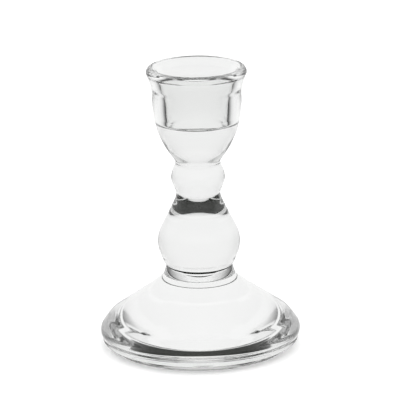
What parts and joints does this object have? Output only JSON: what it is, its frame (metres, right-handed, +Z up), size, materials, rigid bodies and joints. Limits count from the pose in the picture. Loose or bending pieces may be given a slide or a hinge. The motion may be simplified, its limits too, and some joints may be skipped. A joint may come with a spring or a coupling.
{
  "type": "glass candlestick",
  "caption": "Clear glass candlestick with a cup-shaped candle socket, a knopped stem and a wide conical foot.",
  "frame": {"origin": "centre of the foot's resting face, on the table", "axes": "+Z up along the turning axis, from the foot to the candle cup"},
  "size_m": [0.075, 0.075, 0.1074],
  "materials": {
    "clear_glass": "polished"
  },
  "bodies": {
    "root": {"foot": "clear_glass", "neck_collar": "clear_glass", "pear_knop": "clear_glass", "ball_knop": "clear_glass", "candle_cup": "clear_glass"}
  },
  "joints": []
}
